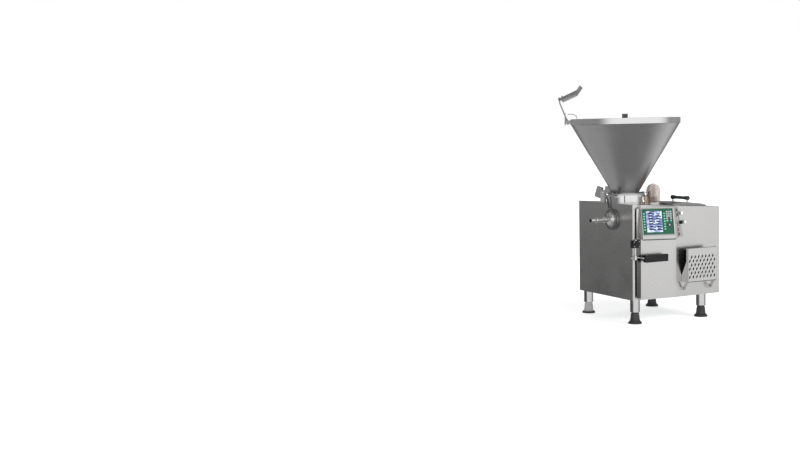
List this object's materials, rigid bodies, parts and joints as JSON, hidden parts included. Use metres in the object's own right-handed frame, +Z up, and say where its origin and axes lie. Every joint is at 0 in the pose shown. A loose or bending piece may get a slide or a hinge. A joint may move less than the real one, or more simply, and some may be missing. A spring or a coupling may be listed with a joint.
{
  "type": "vacuum sausage filler",
  "caption": "Floor-standing vacuum sausage filler with a tilting cone hopper, twin feed screws, outlet pipe, control console and knee lever.",
  "frame": {"origin": "on the floor under the middle of the whole outline", "axes": "+X to the right along the front with the console, +Y from the front to the back, +Z up; the outlet pipe points to -X"},
  "size_m": [1.3778, 1.0538, 2.2596],
  "materials": {
    "housing_steel": "blasted stainless steel, satin",
    "hopper_steel": "fine brushed stainless steel",
    "bright_steel": "polished stainless steel",
    "turned_steel": "machined steel",
    "frame_steel": "grey paint",
    "cast_case": "cast, machined faces",
    "motor_paint": "dark paint",
    "black_plastic": "matt black",
    "handle_plastic": "dark green black, glossy",
    "foot_plastic": "matt black",
    "panel_green": "printed membrane",
    "screen": "display window",
    "white_plastic": "white",
    "dark_button": "dark grey",
    "green_button": "grey green",
    "red_button": "red",
    "clear_dome": "clear plastic with an amber tint",
    "brass": "brass",
    "mirror": "polished steel sheet"
  },
  "bodies": {
    "machine": {"base_frame": "frame_steel", "housing_shell": "housing_steel", "front_cover": "housing_steel", "leg_tubes": "bright_steel", "screw_housing": "turned_steel", "gearbox_case": "cast_case", "main_motor": "motor_paint", "vacuum_pump": "cast_case", "feed_throat": "bright_steel", "throat_collar": "bright_steel", "hopper_hinge_post": "bright_steel", "outlet_flange": "bright_steel", "outlet_reducer": "bright_steel", "filling_pipe": "bright_steel", "console_case": "housing_steel", "control_panel": "panel_green", "screen_window": "screen", "control_collars": "turned_steel", "knee_bearing": "black_plastic", "dome_base": "bright_steel", "vacuum_valve": "brass", "lid_hinge": "bright_steel", "lid_well": "housing_steel", "hood_hinge": "bright_steel"},
    "hopper": {"hopper": "hopper_steel", "hopper_hinge_arm": "hopper_steel", "counter_arm": "bright_steel", "mirror_bracket": "bright_steel"},
    "feed_curve": {"feed_curve": "bright_steel"},
    "mirror_rod": {"mirror_rod": "bright_steel"},
    "mirror_plate": {"mirror_plate": "mirror"},
    "front_screw": {"feed_screw_front": "turned_steel", "timing_gear_front": "turned_steel"},
    "rear_screw": {"feed_screw_rear": "turned_steel", "timing_gear_rear": "turned_steel"},
    "pinion": {"motor_pinion": "turned_steel"},
    "union_nut": {"union_nut": "bright_steel"},
    "locking_lever": {"locking_lever": "black_plastic"},
    "vent_hood": {"vent_hood": "housing_steel"},
    "knee_lever": {"knee_shaft": "bright_steel", "knee_arm": "bright_steel", "knee_pad": "black_plastic"},
    "top_lid": {"top_lid": "housing_steel", "lid_handle": "handle_plastic"},
    "vacuum_dome": {"vacuum_dome": "clear_dome"},
    "trap_float": {"trap_float": "black_plastic"},
    "clamp_handle_1": {"clamp_handle_1": "bright_steel"},
    "clamp_handle_2": {"clamp_handle_2": "bright_steel"},
    "clamp_handle_3": {"clamp_handle_3": "bright_steel"},
    "push_button_1": {"push_button_1": "dark_button"},
    "push_button_2": {"push_button_2": "dark_button"},
    "push_button_3": {"push_button_3": "green_button"},
    "push_button_4": {"push_button_4": "red_button"},
    "push_button_5": {"push_button_5": "dark_button"},
    "mushroom_button_upper": {"mushroom_button_upper": "white_plastic"},
    "mushroom_button_lower": {"mushroom_button_lower": "white_plastic"},
    "foot_front_left": {"foot_front_left": "foot_plastic"},
    "foot_front_right": {"foot_front_right": "foot_plastic"},
    "foot_rear_left": {"foot_rear_left": "foot_plastic"},
    "foot_rear_right": {"foot_rear_right": "foot_plastic"}
  },
  "joints": [
    {"name": "hopper_tilt", "type": "hinge", "parent": "machine", "child": "hopper", "pos_m": [-0.263, 0.17586, 1.2], "axis": [-0.866, -0.5, 0], "range_deg": [0, 70]},
    {"name": "feed_curve_turn", "type": "hinge", "parent": "hopper", "child": "feed_curve", "pos_m": [-0.1505, -0.019, 1.188], "axis": [0, 0, 1], "continuous": true},
    {"name": "mirror_swing", "type": "hinge", "parent": "hopper", "child": "mirror_rod", "pos_m": [-0.58328, 0.29891, 1.886], "axis": [-0.2971, 0.2182, 0.9296], "range_deg": [-40, 40]},
    {"name": "mirror_tilt", "type": "hinge", "parent": "mirror_rod", "child": "mirror_plate", "pos_m": [-0.63889, 0.33976, 2.094], "axis": [0.5456, 0.7438, 0.3861], "range_deg": [-12, 12]},
    {"name": "screw_turn", "type": "hinge", "parent": "machine", "child": "front_screw", "pos_m": [-0.3155, -0.093, 0.96], "axis": [1, 0, 0], "continuous": true},
    {"name": "rear_screw_turn", "type": "hinge", "parent": "machine", "child": "rear_screw", "pos_m": [-0.3155, -0.003, 0.96], "axis": [1, 0, 0], "continuous": true},
    {"name": "pinion_turn", "type": "hinge", "parent": "machine", "child": "pinion", "pos_m": [-0.3155, -0.093, 0.8925], "axis": [1, 0, 0], "continuous": true},
    {"name": "union_nut_turn", "type": "hinge", "parent": "machine", "child": "union_nut", "pos_m": [-0.4175, -0.048, 0.96], "axis": [1, 0, 0], "continuous": true},
    {"name": "lever_swing", "type": "hinge", "parent": "machine", "child": "locking_lever", "pos_m": [-0.3235, 0.03, 1.172], "axis": [-1, 0, 0], "range_deg": [-60, 0]},
    {"name": "hood_swing", "type": "hinge", "parent": "machine", "child": "vent_hood", "pos_m": [-0.3155, -0.392, 0.3], "axis": [1, 0, 0], "range_deg": [0, 80]},
    {"name": "knee_press", "type": "hinge", "parent": "machine", "child": "knee_lever", "pos_m": [-0.3045, -0.378, 0.625], "axis": [0, 0, 1], "range_deg": [0, 6], "stiffness_Nm_per_rad": 30, "springref_deg": -2.86},
    {"name": "lid_swing", "type": "hinge", "parent": "machine", "child": "top_lid", "pos_m": [0.2545, 0.187, 1.08484], "axis": [-0.9981, 0, 0.0616], "range_deg": [0, 80]},
    {"name": "dome_lift", "type": "slide", "parent": "machine", "child": "vacuum_dome", "axis": [0, 0, 1], "range_m": [0, 0.115]},
    {"name": "float_rise", "type": "slide", "parent": "machine", "child": "trap_float", "axis": [0, 0, 1], "range_m": [0, 0.04]},
    {"name": "clamp_1_turn", "type": "hinge", "parent": "hopper", "child": "clamp_handle_1", "pos_m": [0.00988, 0.06272, 1.188], "axis": [0, 0, 1], "range_deg": [-90, 90]},
    {"name": "clamp_2_turn", "type": "hinge", "parent": "hopper", "child": "clamp_handle_2", "pos_m": [-0.31088, -0.10072, 1.188], "axis": [0, 0, 1], "range_deg": [-90, 90]},
    {"name": "clamp_3_turn", "type": "hinge", "parent": "hopper", "child": "clamp_handle_3", "pos_m": [-0.06878, -0.17938, 1.188], "axis": [0, 0, 1], "range_deg": [-90, 90]},
    {"name": "button_1_press", "type": "slide", "parent": "machine", "child": "push_button_1", "axis": [-0.588, 0.7969, -0.1383], "range_m": [0, 0.004], "stiffness_N_per_m": 800, "springref_m": -0.002},
    {"name": "button_2_press", "type": "slide", "parent": "machine", "child": "push_button_2", "axis": [-0.588, 0.7969, -0.1383], "range_m": [0, 0.004], "stiffness_N_per_m": 800, "springref_m": -0.002},
    {"name": "button_3_press", "type": "slide", "parent": "machine", "child": "push_button_3", "axis": [-0.588, 0.7969, -0.1383], "range_m": [0, 0.004], "stiffness_N_per_m": 800, "springref_m": -0.002},
    {"name": "button_4_press", "type": "slide", "parent": "machine", "child": "push_button_4", "axis": [-0.588, 0.7969, -0.1383], "range_m": [0, 0.004], "stiffness_N_per_m": 800, "springref_m": -0.002},
    {"name": "button_5_press", "type": "slide", "parent": "machine", "child": "push_button_5", "axis": [-0.588, 0.7969, -0.1383], "range_m": [0, 0.004], "stiffness_N_per_m": 800, "springref_m": -0.002},
    {"name": "mushroom_upper_press", "type": "slide", "parent": "machine", "child": "mushroom_button_upper", "axis": [-0.588, 0.7969, -0.1383], "range_m": [0, 0.005], "stiffness_N_per_m": 900, "springref_m": -0.002},
    {"name": "mushroom_lower_press", "type": "slide", "parent": "machine", "child": "mushroom_button_lower", "axis": [-0.588, 0.7969, -0.1383], "range_m": [0, 0.005], "stiffness_N_per_m": 900, "springref_m": -0.002},
    {"name": "foot_front_left_turn", "type": "hinge", "parent": "machine", "child": "foot_front_left", "pos_m": [-0.2415, -0.283, 0.108], "axis": [0, 0, 1], "continuous": true},
    {"name": "foot_front_right_turn", "type": "hinge", "parent": "machine", "child": "foot_front_right", "pos_m": [0.5275, -0.283, 0.108], "axis": [0, 0, 1], "continuous": true},
    {"name": "foot_rear_left_turn", "type": "hinge", "parent": "machine", "child": "foot_rear_left", "pos_m": [-0.2415, 0.465, 0.108], "axis": [0, 0, 1], "continuous": true},
    {"name": "foot_rear_right_turn", "type": "hinge", "parent": "machine", "child": "foot_rear_right", "pos_m": [0.5275, 0.465, 0.108], "axis": [0, 0, 1], "continuous": true}
  ],
  "couplings": [
    {"joint": "rear_screw_turn", "follows": "screw_turn", "ratio": -1},
    {"joint": "pinion_turn", "follows": "screw_turn", "ratio": -2}
  ]
}
